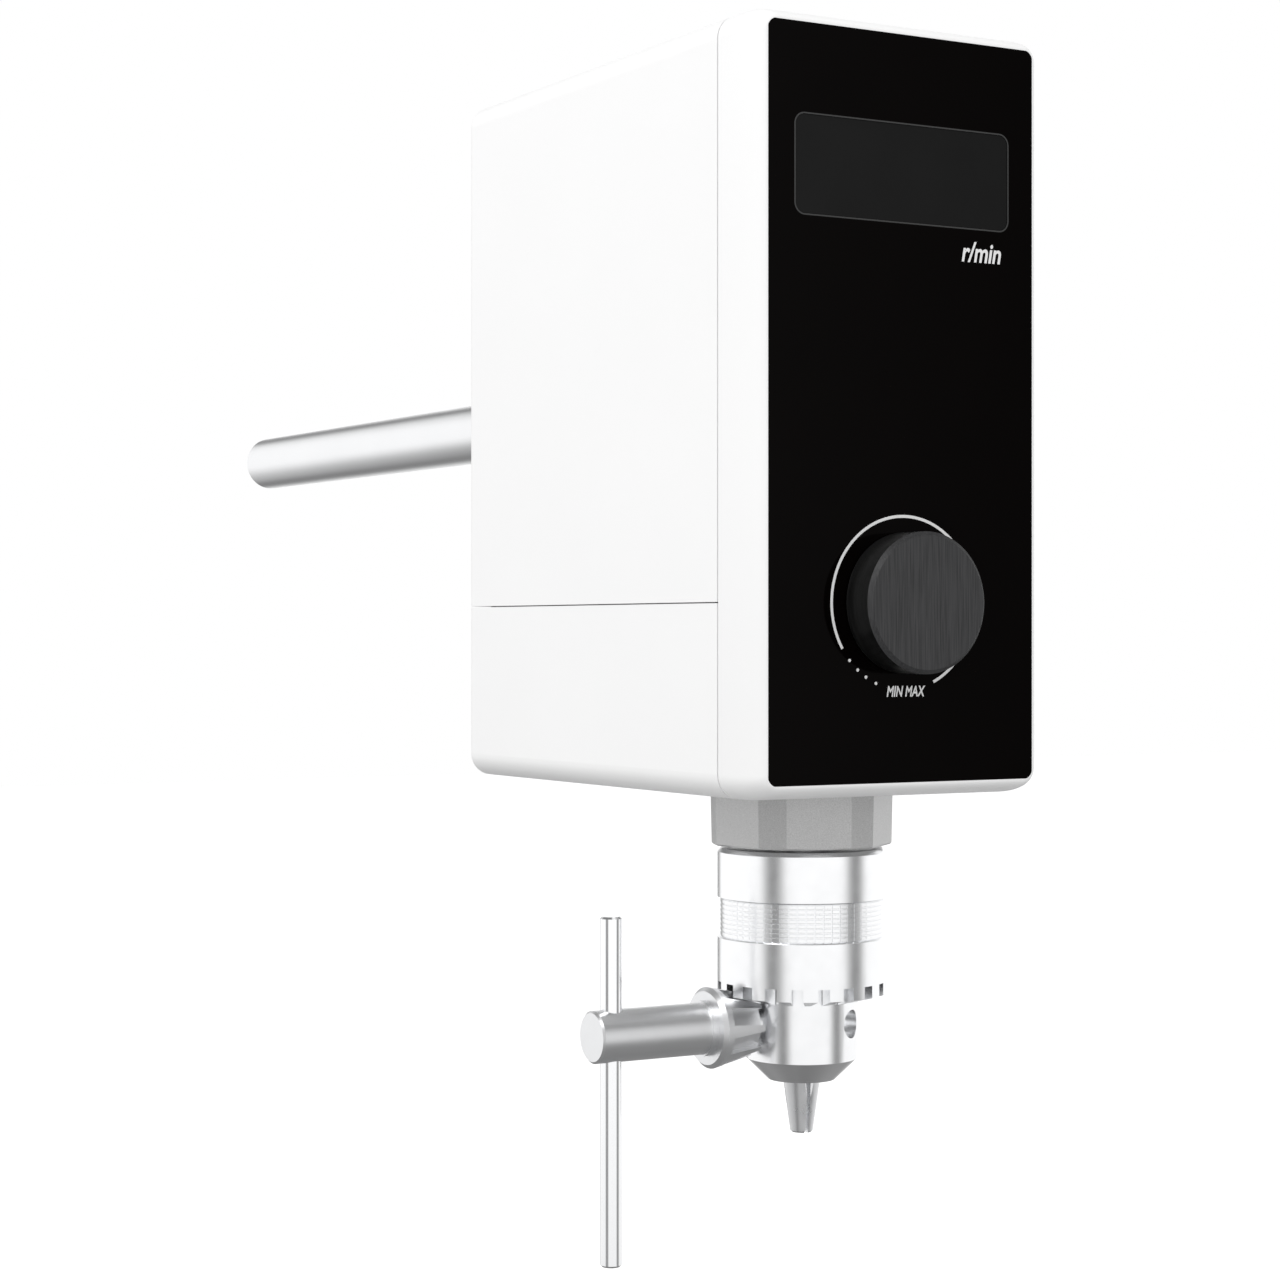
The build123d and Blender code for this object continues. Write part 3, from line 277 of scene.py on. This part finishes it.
white_print = new_finish("white_print", print_colour, roughness=0.5, specular=0.3)
tint(white_print, grain(white_print, size=0.0003), shade(print_colour, 0.97), print_colour)
relief(white_print, grain(white_print, size=0.0001), depth=0.000002)


def ring_point(radius, angle, y):
    """A point round the knob's axis, at an angle in degrees from the right-hand side."""
    turn = math.radians(angle)
    return Vector((radius * math.cos(turn), y, knob_z + radius * math.sin(turn)))


ring_sections = []
for step in range(ring_steps + 1):
    angle = ring_start + (ring_end - ring_start) * step / ring_steps
    ring_sections.append([ring_point(ring_radius + out * ring_width / 2, angle, panel_face - lift)
                          for out, lift in ((-1, 0), (1, 0), (1, print_thickness), (-1, print_thickness))])
speed_ring = skin("speed_ring", ring_sections, white_print)
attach(speed_ring, "housing")

for number, dot_angle in enumerate(dot_angles):
    centre = ring_point(ring_radius, dot_angle, panel_face)
    dot_loops = []
    for lift in (0, print_thickness):
        dot_loops.append([centre + Vector((dot_radius * math.cos(2 * math.pi * n / dot_sides), -lift,
                                           dot_radius * math.sin(2 * math.pi * n / dot_sides)))
                          for n in range(dot_sides)])
    dot = skin("speed_dot_%d" % (number + 1), dot_loops, white_print)
    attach(dot, "housing")


def lettering(name, words, size, anchor, across, up):
    """Slanting bold letters printed on the panel, hung from their left (0), middle (0.5) or right (1)."""
    text = bpy.data.curves.new(name, "FONT")
    text.body = words
    text.shear = letter_slant
    text.offset = letter_weight
    text.extrude = text_depth
    helper = bpy.data.objects.new(name + "_outline", text)
    bpy.context.scene.collection.objects.link(helper)
    mesh = bpy.data.meshes.new_from_object(helper.evaluated_get(bpy.context.evaluated_depsgraph_get()))
    bpy.data.objects.remove(helper)
    width, height = size
    columns = [vertex.co.x for vertex in mesh.vertices]
    rows = [vertex.co.y for vertex in mesh.vertices]
    start = min(columns) + anchor * (max(columns) - min(columns))
    for vertex in mesh.vertices:
        vertex.co = Vector((across + (vertex.co.x - start) * width / (max(columns) - min(columns)),
                            panel_face - (vertex.co.z / text_depth + 1) / 2 * print_thickness,
                            up + (vertex.co.y - min(rows)) * height / (max(rows) - min(rows))))
    mesh.materials.clear()
    mesh.materials.append(white_print)
    piece = bpy.data.objects.new(name, mesh)
    bpy.context.scene.collection.objects.link(piece)
    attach(piece, "housing")


lettering("unit_mark", "r/min", unit_size, 1, *unit_corner)
lettering("range_mark", "MIN MAX", range_size, 0.5, range_centre, knob_z - range_drop)

# Display window
# A smoked acrylic lens set in the panel's opening, over the digit block on the control board.
# A fine grey line is printed round its edge.

window_colour = (0.0108, 0.0108, 0.0108)
border_width = 0.00035
border_colour = (0.05, 0.05, 0.05)
window_corner = 0.0025

window_tint = new_finish("window_tint", window_colour, roughness=0.12, specular=0.08)
tint(window_tint, grain(window_tint, size=0.015), shade(window_colour, 0.95), shade(window_colour, 1.05))
polish(window_tint, grain(window_tint, size=0.003), low=0.1, high=0.14)
dress(window_tint, "display_window")

border_grey = new_finish("border_grey", border_colour, roughness=0.4, specular=0.2)
tint(border_grey, grain(border_grey, size=0.0004), shade(border_colour, 0.9), shade(border_colour, 1.1))
lens_low, lens_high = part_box("display_window")
lens_middle = (lens_low.z + lens_high.z) / 2
lens_half = Vector((lens_high.x, 0, (lens_high.z - lens_low.z) / 2))
border_loops = []
for grow, lift in ((0, 0), (0, print_thickness), (border_width, print_thickness), (border_width, 0)):
    border_loops.append(outline(lens_half.x + panel_gap + grow, lens_half.z + panel_gap + grow,
                                window_corner + grow, panel_face - lift, lens_middle))
border_loops.append(border_loops[0])
window_border = skin("window_border", border_loops, border_grey, capped=False)
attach(window_border, "housing")

# Speed knob
# A solid aluminium drum, black anodised, its face brushed straight up and down and its rim turned.
# It is pressed on the potentiometer's shaft and stands just off the panel.

knob_face_dark = (0.024, 0.024, 0.025)
knob_face_light = (0.052, 0.052, 0.054)
knob_rim_dark = (0.003, 0.003, 0.003)
knob_rim_light = (0.014, 0.014, 0.014)
brush_width = 0.0003
brush_length = 36
brush_detail = 4.0
face_share = 0.5

knob_black = new_finish("knob_black", knob_face_light, roughness=0.4, specular=0.35)
face_lines = grain(knob_black, brush_width, stretch=(1, 1, brush_length), detail=brush_detail)
rim_lines = grain(knob_black, brush_width, stretch=(brush_length, 1, brush_length), detail=brush_detail)


def by_facing(material, axis, edge, on_face, elsewhere):
    """Chooses between two colours by whether the surface faces along an axis."""
    tree = material.node_tree
    place = tree.nodes.new("ShaderNodeTexCoord")
    parts = tree.nodes.new("ShaderNodeSeparateXYZ")
    size = tree.nodes.new("ShaderNodeMath")
    size.operation = "ABSOLUTE"
    test = tree.nodes.new("ShaderNodeMath")
    test.operation = "GREATER_THAN"
    test.inputs[1].default_value = edge
    mix = tree.nodes.new("ShaderNodeMix")
    mix.data_type = "RGBA"
    tree.links.new(place.outputs["Normal"], parts.inputs["Vector"])
    tree.links.new(parts.outputs[axis], size.inputs[0])
    tree.links.new(size.outputs[0], test.inputs[0])
    tree.links.new(test.outputs[0], mix.inputs[0])
    tree.links.new(elsewhere, mix.inputs[6])
    tree.links.new(on_face, mix.inputs[7])
    return mix.outputs[2]


knob_tree = knob_black.node_tree
knob_colour = by_facing(knob_black, "Y", face_share,
                        tone(knob_black, face_lines, knob_face_dark, knob_face_light),
                        tone(knob_black, rim_lines, knob_rim_dark, knob_rim_light))
knob_tree.links.new(knob_colour, knob_tree.nodes["Principled BSDF"].inputs["Base Color"])
polish(knob_black, face_lines, low=0.3, high=0.45)
relief(knob_black, face_lines, depth=0.000008)
dress(knob_black, "speed_knob")

# Support rod
# A ground steel bar that screws into the casting behind the covers and is clamped by a boss head.
# Its surface keeps faint lengthwise grinding marks, and its end is chamfered.

rod_colour = (0.86, 0.865, 0.875)
steel_drift = 0.01
line_detail = 3.0


def steel(name, colour, low, high, line, stretch, depth, spot=0.01):
    """Bare or plated metal: fine lines left by the tool, and a slow drift of polish."""
    material = new_finish(name, colour, (low + high) / 2, metallic=1.0)
    tint(material, grain(material, spot), shade(colour, 1 - steel_drift), shade(colour, 1 + steel_drift))
    polish(material, grain(material, spot / 3), low, high)
    relief(material, grain(material, line, stretch, line_detail), depth)
    return material


rod_steel = steel("rod_steel", rod_colour, low=0.25, high=0.27, line=0.0003, stretch=(1, 80, 1),
                  depth=0.0000003, spot=0.03)
dress(rod_steel, "support_rod")

# Spindle collar
# A pale grey nose round the spindle, with six wide and six narrow flats and a slight draft.
# It is metallic plastic, sparked in the mould to a fine even grain, and three screws hold it from below.

collar_colour = (0.54, 0.54, 0.54)
collar_plastic = new_finish("collar_plastic", collar_colour, roughness=0.36, metallic=0.3)
tint(collar_plastic, grain(collar_plastic, size=0.00022, detail=4.0), shade(collar_colour, 0.82),
     shade(collar_colour, 1.14))
relief(collar_plastic, grain(collar_plastic, size=0.00025), depth=0.00001)
dress(collar_plastic, "spindle_collar")

# Chassis, bearings and spindle
# The casting inside carries the rod, the motor and both bearings, and the spindle runs down through it.
# It is die cast aluminium as it left the tool, and the steel parts are turned and ground.

cast_colour = (0.62, 0.63, 0.64)
cast_aluminium = moulded("cast_aluminium", cast_colour, roughness=0.5, spot=0.0006, depth=0.00002)
cast_aluminium.node_tree.nodes["Principled BSDF"].inputs["Metallic"].default_value = 1.0
dress(cast_aluminium, "chassis", "motor_can", "motor_end_bell")

steel_colour = (0.6, 0.6, 0.61)
plain_steel = steel("plain_steel", steel_colour, low=0.25, high=0.4, line=0.0002, stretch=(6, 6, 1),
                    depth=0.000002)
dress(plain_steel, "spindle", "lower_bearing_outer", "lower_bearing_inner", "upper_bearing_outer",
      "upper_bearing_inner", "pot_shaft", "pot_nut", "speed_pot", "chuck_nut", "motor_bolts",
      "rod_grub_screws", "board_screws", "power_board_screws")

# Motor
# A brushless motor built straight on the spindle: a laminated stator, wound coils and a magnet rotor.
# The stack is pressed in the can, the coils are wound tooth by tooth, and the magnets are bonded on.

core_colour = (0.2, 0.2, 0.21)
core_iron = steel("core_iron", core_colour, low=0.4, high=0.55, line=0.0005, stretch=(60, 60, 1),
                  depth=0.00002)
dress(core_iron, "stator_core", "rotor_core", "rotor_magnets")

copper_colour = (0.72, 0.4, 0.2)
copper_wire = steel("copper_wire", copper_colour, low=0.25, high=0.35, line=0.0006, stretch=(60, 60, 1),
                    depth=0.0001)
dress(copper_wire, "winding_coils")

# Boards and supply
# The control board hangs on four bosses behind the panel and the power board stands on four posts.
# Both are green glass-fibre boards with black parts soldered on. The inlet and the rocker switch are black
# moulded parts that snap into the rear wall.

board_colour = (0.03, 0.22, 0.1)
circuit_green = moulded("circuit_board", board_colour, roughness=0.35, spot=0.0005, depth=0.00001)
dress(circuit_green, "control_board", "power_board")

black_colour = (0.03, 0.03, 0.03)
black_plastic = moulded("black_plastic", black_colour, roughness=0.42, spot=0.0004, depth=0.000008)
dress(black_plastic, "display_module", "transformer", "bulk_capacitor", "power_inlet", "switch_frame",
      "switch_rocker")

brass_colour = (0.75, 0.65, 0.4)
contact_brass = steel("contact_brass", brass_colour, low=0.25, high=0.35, line=0.0002, stretch=(1, 40, 1),
                      depth=0.000001)
dress(contact_brass, "inlet_blades")

# Housing screws
# Two pan head screws hold the upper cover and four countersunk screws hold the tray.
# They are zinc plated steel, and three more, sunk in its underside, hold the collar.

zinc_colour = (0.7, 0.71, 0.73)
zinc_steel = steel("zinc_steel", zinc_colour, low=0.25, high=0.35, line=0.0002, stretch=(1, 1, 1),
                   depth=0.000002)
dress(zinc_steel, "cover_screws", "base_screws", "collar_screws")

# Chuck
# The chuck is turned steel, plated bright: a nose with three leaning jaws, and a sleeve with a crown of
# teeth. The sleeve's waist is knurled with straight and ring grooves for the fingers.

chuck_colour = (0.95, 0.955, 0.965)
chuck_steel = steel("chuck_steel", chuck_colour, low=0.21, high=0.25, line=0.00025, stretch=(60, 60, 1),
                    depth=0.0000004)
dress(chuck_steel, "chuck_body", "chuck_sleeve")

knurl_columns = 60
knurl_rows = 8
knurl_root = 0.02039
knurl_crest = 0.02058
knurl_groove = 0.00022
knurl_edge = 0.0001
knurl_drop = 0.01275
knurl_height = 0.0093
knurl_sharp = 20
sleeve_low, sleeve_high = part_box("chuck_sleeve")
spindle_y = (sleeve_low.y + sleeve_high.y) / 2
knurl_top = sleeve_high.z - knurl_drop
knurl_bottom = knurl_top - knurl_height


def knurl_pad(points, faces, angle, middle, half_turn, half_height):
    """One raised pad of the knurl, with bevelled sides, that stands on the sleeve's waist."""
    first = len(points)
    edge_turn = knurl_edge / knurl_crest
    for radius, turn_in, height_in in ((knurl_root, 0, 0), (knurl_crest, edge_turn, knurl_edge)):
        for turn_side in (-1, 0, 1):
            for height_side in (-1, 1):
                around = angle + turn_side * (half_turn - turn_in)
                points.append(Vector((radius * math.cos(around), spindle_y + radius * math.sin(around),
                                      middle + height_side * (half_height - height_in))))
    for face in ((6, 8, 9, 7), (8, 10, 11, 9), (0, 2, 8, 6), (2, 4, 10, 8), (1, 7, 9, 3), (3, 9, 11, 5),
                 (0, 6, 7, 1), (4, 5, 11, 10), (0, 1, 3, 2), (2, 3, 5, 4)):
        faces.append(tuple(first + n for n in face))


knurl_points = []
knurl_faces = []
row_height = (knurl_top - knurl_bottom) / knurl_rows
for column in range(knurl_columns):
    for row in range(knurl_rows):
        knurl_pad(knurl_points, knurl_faces, 2 * math.pi * (column + 0.5) / knurl_columns,
                  knurl_bottom + (row + 0.5) * row_height,
                  math.pi / knurl_columns - knurl_groove / 2 / knurl_crest, (row_height - knurl_groove) / 2)
sleeve_knurl = solid("sleeve_knurl", knurl_points, knurl_faces, chuck_steel, knurl_sharp)
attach(sleeve_knurl, "sleeve")

ground_colour = (0.84, 0.845, 0.855)
jaw_steel = steel("jaw_steel", ground_colour, low=0.26, high=0.32, line=0.0003, stretch=(1, 1, 40),
                  depth=0.0000005)
dress(jaw_steel, "jaw_1", "jaw_2", "jaw_3")

# Chuck key
# The key is turned from one bar: a bevel pinion that meshes with the sleeve's crown, a ring and a shank.
# A plain cross bar slides through the shank, and a pilot pin centres the key in the chuck's nose.

key_steel = steel("key_steel", ground_colour, low=0.32, high=0.36, line=0.00025, stretch=(1, 60, 60),
                  depth=0.0000005)
dress(key_steel, "key_body", "key_pilot")
bar_steel = steel("bar_steel", chuck_colour, low=0.13, high=0.16, line=0.0003, stretch=(1, 1, 80),
                  depth=0.0000003)
dress(bar_steel, "key_bar")

# Studio
# A pale bench far below with a painted shadow under the part that only its bounced light shows, an even white
# surround and one large soft lamp above and to the left.
# Bright metal sees the surround with three grey gaps and darker above and below, and shows them as bands.

bench_height = -0.45
bench_size = 6.0
bench_reach = 2.0
# Painted shadow: the bench's colour for bounced light, by distance from the middle, dark under the part and
# pale further out.
bench_shadowed_bounce = ((0.0, 0.2), (0.25, 0.3), (0.55, 0.9), (1.0, 0.9))
bench_seen = 0.9
bench_glow = 0.35
gap_places = ((-162, 22), (-45, 22), (80, 14))
gap_floor = 0.12
gap_level = 0.24
surround_start = 140
belt_levels = ((0.0, 0.18), (0.1, 0.27), (0.26, 0.3), (0.32, 0.56), (0.39, 0.95), (0.44, 1.1), (0.68, 1.1),
               (0.72, 0.95), (0.77, 0.52), (0.82, 0.25), (1.0, 0.19))
even_light = ((0.0, 0.5), (0.5, 0.88), (1.0, 0.88))
lamp_size = 1.2
lamp_power = 10
lamp_place = (-1.1, -0.5, 1.3)
lamp_target = (0, -0.08, 0)
camera_place = (-0.377, -0.685, -0.0617)
camera_turn = 29.74
camera_lens = 76.64
camera_sensor = 36
camera_shift = -7.5 / 1280


def wired(tree, kind, **inputs):
    """A node in a tree, with its numbered inputs linked or set."""
    node = tree.nodes.new(kind)
    for key, value in inputs.items():
        place = node.inputs[int(key[1:])]
        if isinstance(value, bpy.types.NodeSocket):
            tree.links.new(value, place)
        else:
            place.default_value = value
    return node


def maths(tree, operation, *values):
    """One sum in a tree."""
    node = wired(tree, "ShaderNodeMath", **{"i%d" % n: value for n, value in enumerate(values)})
    node.operation = operation
    return node.outputs[0]


def grey_ramp(tree, source, stops, manner="LINEAR"):
    """A grey ramp in a tree, through its stops."""
    node = wired(tree, "ShaderNodeValToRGB", i0=source)
    node.color_ramp.interpolation = manner
    elements = node.color_ramp.elements
    elements[0].position, elements[1].position = stops[0][0], stops[-1][0]
    elements[0].color = (*[stops[0][1]] * 3, 1)
    elements[1].color = (*[stops[-1][1]] * 3, 1)
    for position, level in stops[1:-1]:
        elements.new(position).color = (level, level, level, 1)
    return node.outputs["Color"]


def blend(tree, factor, first, second):
    """Two colours of a tree, mixed."""
    node = tree.nodes.new("ShaderNodeMix")
    node.data_type = "RGBA"
    for place, value in ((0, factor), (6, first), (7, second)):
        if isinstance(value, bpy.types.NodeSocket):
            tree.links.new(value, node.inputs[place])
        elif place == 0:
            node.inputs[place].default_value = value
        else:
            node.inputs[place].default_value = (value, value, value, 1)
    return node.outputs[2]


bench_top = bpy.data.materials.new("bench_top")
bench_top.use_nodes = True
floor = bench_top.node_tree
floor.nodes.clear()
floor_paths = wired(floor, "ShaderNodeLightPath")
floor_place = wired(floor, "ShaderNodeNewGeometry")
far = wired(floor, "ShaderNodeVectorMath", i0=floor_place.outputs["Position"])
far.operation = "LENGTH"
# The bench's colour for bounced light is painted dark under the part and pale further out, a painted shadow
# that the camera never sees.
shadowed_bounce = grey_ramp(floor, maths(floor, "DIVIDE", far.outputs["Value"], bench_reach), bench_shadowed_bounce)
shown = wired(floor, "ShaderNodeAddShader",
              i0=wired(floor, "ShaderNodeBsdfDiffuse", i0=(bench_seen, bench_seen, bench_seen, 1)).outputs[0],
              i1=wired(floor, "ShaderNodeEmission", i1=bench_glow).outputs[0])
in_sight = maths(floor, "MAXIMUM", floor_paths.outputs["Is Camera Ray"],
                 floor_paths.outputs["Is Transmission Ray"])
surface = wired(floor, "ShaderNodeMixShader", i0=in_sight,
                i1=wired(floor, "ShaderNodeBsdfDiffuse", i0=shadowed_bounce).outputs[0], i2=shown.outputs[0])
clear = maths(floor, "MAXIMUM", floor_place.outputs["Backfacing"], floor_paths.outputs["Is Glossy Ray"])
one_sided = wired(floor, "ShaderNodeMixShader", i0=clear, i1=surface.outputs[0],
                  i2=wired(floor, "ShaderNodeBsdfTransparent").outputs[0])
wired(floor, "ShaderNodeOutputMaterial", i0=one_sided.outputs[0])

bench = solid("bench", [(-bench_size, -bench_size, bench_height), (bench_size, -bench_size, bench_height),
                        (bench_size, bench_size, bench_height), (-bench_size, bench_size, bench_height)],
              [(0, 1, 2, 3)], bench_top)

world = bpy.data.worlds.new("surround")
bpy.context.scene.world = world
world.use_nodes = True
sky = world.node_tree
sky.nodes.clear()
direction = wired(sky, "ShaderNodeSeparateXYZ", i0=wired(sky, "ShaderNodeTexCoord").outputs["Generated"])
round_angle = maths(sky, "ARCTAN2", direction.outputs["Y"], direction.outputs["X"])
round_share = maths(sky, "FRACT", maths(sky, "SUBTRACT", maths(sky, "DIVIDE", round_angle, 2 * math.pi),
                                        surround_start / 360))
stops = [(0.0, 1.0)]
for azimuth, half in sorted(gap_places, key=lambda gap: (gap[0] - surround_start) % 360):
    for offset, level in ((-half, 1.0), (-half * gap_floor, 0.0), (half * gap_floor, 0.0), (half, 1.0)):
        stops.append((((azimuth - surround_start) % 360 + offset) / 360, level))
stops.append((1.0, 1.0))
around = grey_ramp(sky, round_share, stops, "EASE")
up_share = maths(sky, "MULTIPLY_ADD", direction.outputs["Z"], 0.5, 0.5)
shown_in_metal = blend(sky, around, gap_level, grey_ramp(sky, up_share, belt_levels))
sky_paths = wired(sky, "ShaderNodeLightPath")
sees_white = maths(sky, "MAXIMUM", sky_paths.outputs["Is Camera Ray"],
                   sky_paths.outputs["Is Transmission Ray"])
lighting = blend(sky, sky_paths.outputs["Is Glossy Ray"], grey_ramp(sky, up_share, even_light),
                 shown_in_metal)
backdrop = wired(sky, "ShaderNodeBackground", i0=blend(sky, sees_white, lighting, 1.0))
wired(sky, "ShaderNodeOutputWorld", i0=backdrop.outputs[0])

lamp_data = bpy.data.lights.new("soft_lamp", "AREA")
lamp_data.shape = "DISK"
lamp_data.size = lamp_size
lamp_data.energy = lamp_power
soft_lamp = bpy.data.objects.new("soft_lamp", lamp_data)
bpy.context.scene.collection.objects.link(soft_lamp)
soft_lamp.location = lamp_place
soft_lamp.rotation_euler = (Vector(lamp_target) - soft_lamp.location).to_track_quat("-Z", "Y").to_euler()

camera_data = bpy.data.cameras.new("camera")
camera_data.lens = camera_lens
camera_data.sensor_width = camera_sensor
camera_data.shift_y = camera_shift
camera = bpy.data.objects.new("camera", camera_data)
bpy.context.scene.collection.objects.link(camera)
camera.location = camera_place
camera.rotation_euler = (math.radians(90), 0, math.radians(-camera_turn))
bpy.context.scene.camera = camera
bpy.context.scene.view_settings.view_transform = "Standard"
